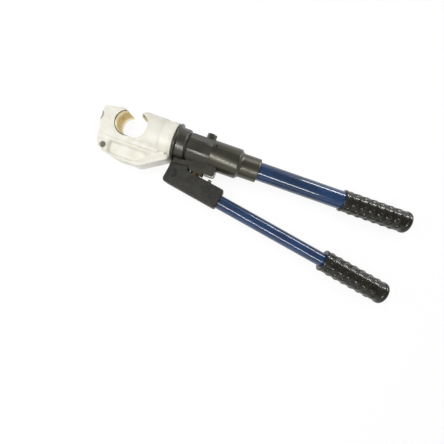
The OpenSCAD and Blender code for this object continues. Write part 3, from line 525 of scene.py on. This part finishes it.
# %% Height of the bumps, in millimetres
BUMP_HEIGHT = 1.15
BUMP_RADIUS = 4.3
BUMP_PITCH = 14.0
BUMP_COLUMNS = 10
# Below 1, a bump has steeper sides and a flatter top than a bowl.
BUMP_FULLNESS = 0.8
FIRST_BUMP = 11.5
LAST_BUMP = GRIP_LENGTH - 13


def bump_height(x, angle):
    """How far the bumps lift the grip's surface at a place along and round it."""
    highest = 0.0
    turn = angle / (2 * math.pi) * BUMP_COLUMNS
    for column in (math.floor(turn), math.floor(turn) + 1):
        offset = BUMP_PITCH / 2 * (column % 2)
        row = round((x - FIRST_BUMP - offset) / BUMP_PITCH)
        centre = FIRST_BUMP + offset + row * BUMP_PITCH
        if row < 0 or centre > LAST_BUMP:
            continue
        across = (turn - column) * 2 * math.pi * GRIP_RADIUS / BUMP_COLUMNS
        share = 1 - ((x - centre) ** 2 + across ** 2) / BUMP_RADIUS ** 2
        if share > 0:
            highest = max(highest, BUMP_HEIGHT * share ** BUMP_FULLNESS)
    return highest


print("the first bump stands", bump_height(FIRST_BUMP, 0), "mm high")

# %% [markdown]
# ## Bend a grid into a grip
#
# A flat grid is the start: one side follows the section and the other goes once round the handle. Every
# point is moved to its place by the section, its angle and the bumps. The two edges that meet are then
# merged, and so are the points at the poles, which closes the skin. The points are placed on the handle's
# own axis, so the finished object sits at the origin, as a CAD node does.

# %% Bend a grid
AROUND = 180
MERGE_WITHIN = 0.001
# Only the outside of the sleeve, between the flange and the rounded end, carries bumps.
BUMPS_FROM_X = 4
BUMPS_TO_X = GRIP_LENGTH - 5
OUTSIDE_FROM = GRIP_RADIUS - 0.5


def make_grip(name, bore, to_part):
    """One grip, placed on the part by a matrix that takes its axis to the handle's."""
    bpy.ops.object.select_all(action="DESELECT")
    bpy.ops.mesh.primitive_grid_add(x_subdivisions=ALONG, y_subdivisions=AROUND, size=2)
    grip = bpy.context.object
    grip.name = name
    section = equal_steps(grip_section(bore), ALONG)
    for vertex in grip.data.vertices:
        x, radius = section[round((vertex.co.x + 1) / 2 * ALONG)]
        angle = round((vertex.co.y + 1) / 2 * AROUND) % AROUND * 2 * math.pi / AROUND
        if BUMPS_FROM_X < x < BUMPS_TO_X and radius > OUTSIDE_FROM:
            radius += bump_height(x, angle)
        place = Vector((x, radius * math.cos(angle), radius * math.sin(angle))) * MM
        vertex.co = to_part @ place
    bpy.ops.object.mode_set(mode="EDIT")
    bpy.ops.mesh.select_all(action="SELECT")
    bpy.ops.mesh.remove_doubles(threshold=MERGE_WITHIN * MM)
    bpy.ops.mesh.normals_make_consistent(inside=False)
    bpy.ops.object.mode_set(mode="OBJECT")
    bpy.ops.object.shade_smooth()
    grip.data.materials.append(rubber)
    print(name, len(grip.data.polygons), "faces")
    return grip


# %% The grip on the fixed handle
FIXED_MOUTH = Vector((366, 0, 0)) * MM

fixed_grip = make_grip("fixed_grip", FIXED_BORE, Matrix.Translation(FIXED_MOUTH))
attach(fixed_grip, "pump")
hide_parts("fixed_handle_grip")

# %% The grip on the moving handle
PIVOT = Vector((92, -50.7, 0)) * MM
LEVER_ANGLE = math.radians(10)
# Along the lever from its pivot, and down to the handle's axis.
MOVING_MOUTH = Vector((281, -3.3, 0)) * MM

lever_place = Matrix.Translation(PIVOT) @ Matrix.Rotation(-LEVER_ANGLE, 4, "Z")
moving_grip = make_grip("moving_grip", MOVING_BORE, lever_place @ Matrix.Translation(MOVING_MOUTH))
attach(moving_grip, "moving_handle")
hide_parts("moving_handle_grip")

# %% [markdown]
# ## Spring copies
#
# Three springs sit out of sight. Those behind the die button and over the release valve's stem shorten as
# the button or the stem is pressed, and the ram's return spring stretches as the ram goes forward. A rigid
# coil would cut into its neighbour or leave its pin. A new coil could be wound from a helix, but the CAD
# coil already has the right wire and turns. So each spring is shown by a merged copy of it: the button's
# coil rides on the head and the valve's on the pump, each with a mesh of its own, and the return spring's
# copy has its place baked into its mesh.


# %% Copy a spring
def spring_copy(name, node_name):
    """A merged copy of a CAD spring, shown in place of it."""
    coil = bpy.data.objects.new(name, nodes[node_name].data.copy())
    bpy.context.collection.objects.link(coil)
    bpy.ops.object.select_all(action="DESELECT")
    coil.select_set(True)
    bpy.context.view_layer.objects.active = coil
    bpy.ops.object.mode_set(mode="EDIT")
    bpy.ops.mesh.select_all(action="SELECT")
    bpy.ops.mesh.remove_doubles(threshold=MERGE_WITHIN * MM)
    bpy.ops.object.mode_set(mode="OBJECT")
    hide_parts(node_name)
    print(name, len(coil.data.polygons), "faces, stands for", node_name)
    return coil


button_coil = spring_copy("button_coil", "die_button_spring")
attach(button_coil, "head")
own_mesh(button_coil)

release_coil = spring_copy("release_coil", "release_valve_spring")
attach(release_coil, "pump")
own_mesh(release_coil)

return_coil = spring_copy("return_coil", "ram_return_spring")
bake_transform(return_coil)

# %% [markdown]
# ## White table
#
# The tool lies on white paper that nearly swallows its shadow. A plain white floor would need so much light
# that the tool's pale head would burn out. So the paper is part diffuse white, which keeps a faint shadow,
# and part white light that only the camera, reflections and clear materials see. The background is then
# white without more light on the tool.

# %% Paper and table
STAGE_X, STAGE_Y = 0.2, -0.1
TABLE_Z = -0.0322
TABLE_SIZE = 60
SHADOW_LEFT = 0.12
PAPER_GLOW = 1.03

# White paper: matt and even, and bright to the eye without lighting the tool.
paper = new_material("white_table_paper", "FFFFFF", metallic=0.0, roughness=0.9)
path = add_node(paper, "ShaderNodeLightPath")
mirrored = add_node(paper, "ShaderNodeMath", {"operation": "MAXIMUM"},
                    {0: path.outputs["Is Camera Ray"], 1: path.outputs["Is Glossy Ray"]})
seen = add_node(paper, "ShaderNodeMath", {"operation": "MAXIMUM"},
                {0: mirrored.outputs["Value"], 1: path.outputs["Is Transmission Ray"]})
share = add_node(paper, "ShaderNodeMath", {"operation": "MULTIPLY", 1: 1 - SHADOW_LEFT},
                 {0: seen.outputs["Value"]})
glow = add_node(paper, "ShaderNodeEmission", {"Color": (1, 1, 1, 1), "Strength": PAPER_GLOW})
paper_nodes = paper.node_tree.nodes
both = add_node(paper, "ShaderNodeMixShader", None,
                {0: share.outputs["Value"], 1: paper_nodes["Principled BSDF"].outputs["BSDF"],
                 2: glow.outputs["Emission"]})
paper.node_tree.links.new(both.outputs["Shader"], paper_nodes["Material Output"].inputs["Surface"])

bpy.ops.object.select_all(action="DESELECT")
bpy.ops.mesh.primitive_plane_add(size=TABLE_SIZE, location=(STAGE_X, STAGE_Y, TABLE_Z))
table = bpy.context.object
table.name = "white_table"
table.data.materials.append(paper)
print("white table, with", SHADOW_LEFT, "of the shadow left")

# %% [markdown]
# ## Wall and room
#
# From a low side view the table ends in a horizon. A far white wall of the same paper closes it all round,
# so every view has a white background. The room above the wall stays dim, which keeps the black pieces
# black where they mirror it.

# %% White wall and dim room
WALL_RADIUS = 20
WALL_HEIGHT = 11.5
ROOM_LIGHT = 0.22

bpy.ops.object.select_all(action="DESELECT")
bpy.ops.mesh.primitive_cylinder_add(vertices=96, radius=WALL_RADIUS, depth=WALL_HEIGHT,
                                    end_fill_type="NOTHING",
                                    location=(STAGE_X, STAGE_Y, TABLE_Z + WALL_HEIGHT / 2))
wall = bpy.context.object
wall.name = "white_wall"
wall.data.materials.append(paper)

world = bpy.data.worlds.new("dim_room")
bpy.context.scene.world = world
world.use_nodes = True
background = world.node_tree.nodes["Background"]
background.inputs["Color"].default_value = (1, 1, 1, 1)
background.inputs["Strength"].default_value = ROOM_LIGHT
print("white wall", WALL_HEIGHT, "m high in a room of strength", ROOM_LIGHT)

# %% [markdown]
# ## Lights
#
# A soft overhead light and a soft side light give the level, and a weak low light lifts the head's lower
# flank. Large lights would leave wide pale patches on the black pieces, so the overhead and the low one
# don't show in reflections. Two long narrow lights do the opposite: they show in reflections only, and draw
# the thin white lines along the tubes and the glints on the bumps without washing out the colours.


# %% Studio lights
def area_light(name, place, aim, size, power):
    """A rectangular light at a place, aimed at a point, with its size in metres and its power in watts."""
    bpy.ops.object.light_add(type="AREA", location=place)
    light = bpy.context.object
    light.name = name
    light.data.shape = "RECTANGLE"
    light.data.size, light.data.size_y = size
    light.data.energy = power
    light.rotation_euler = (Vector(aim) - Vector(place)).to_track_quat("-Z", "Y").to_euler()
    print(name, power, "W")
    return light


MIDDLE = (0.2, -0.08, 0)
TUBES = (0.3, -0.05, 0)

overhead = area_light("overhead_softbox", (-0.15, 0.14, 1.25), MIDDLE, size=(1.2, 0.9), power=13)
area_light("left_softbox", (-0.9, -0.3, 0.9), MIDDLE, size=(0.8, 0.8), power=3.4)
low_fill = area_light("low_fill", (0.1, -1.0, 0.1), MIDDLE, size=(0.8, 0.2), power=1.9)
for light in (overhead, low_fill):
    light.visible_glossy = False

upper_strip = area_light("upper_strip", (0.86, 0.85, 0.5), TUBES, size=(0.8, 0.09), power=9)
lower_strip = area_light("lower_strip", (0.08, -0.5, 0.85), TUBES, size=(1.2, 0.06), power=10)
for light in (upper_strip, lower_strip):
    light.visible_diffuse = False

# %% [markdown]
# ## Camera
#
# The photograph looks straight down on the tool from close by, so the far ends lean outward and the seat's
# wall shows on one side only. Place, turn and lens were found together, by matching known points and the
# outline of the tool. The Standard view leaves colours as they are written.

# %% Camera at the photograph's place
CAMERA_PLACE = (0.19706, -0.10346, 0.48383)
CAMERA_TURN = (0.7086, 0.2216, 19.344)
LENS = 23.93
SENSOR = 36
NEAREST = 0.01

bpy.ops.object.camera_add()
camera = bpy.context.object
camera.name = "photo_camera"
camera.data.sensor_width = SENSOR
camera.data.lens = LENS
camera.data.clip_start = NEAREST
camera.location = CAMERA_PLACE
camera.rotation_euler = [math.radians(angle) for angle in CAMERA_TURN]
bpy.context.scene.camera = camera
bpy.context.scene.view_settings.view_transform = "Standard"
print("camera with a", LENS, "mm lens,", CAMERA_PLACE[2], "m above the tool's middle plane")
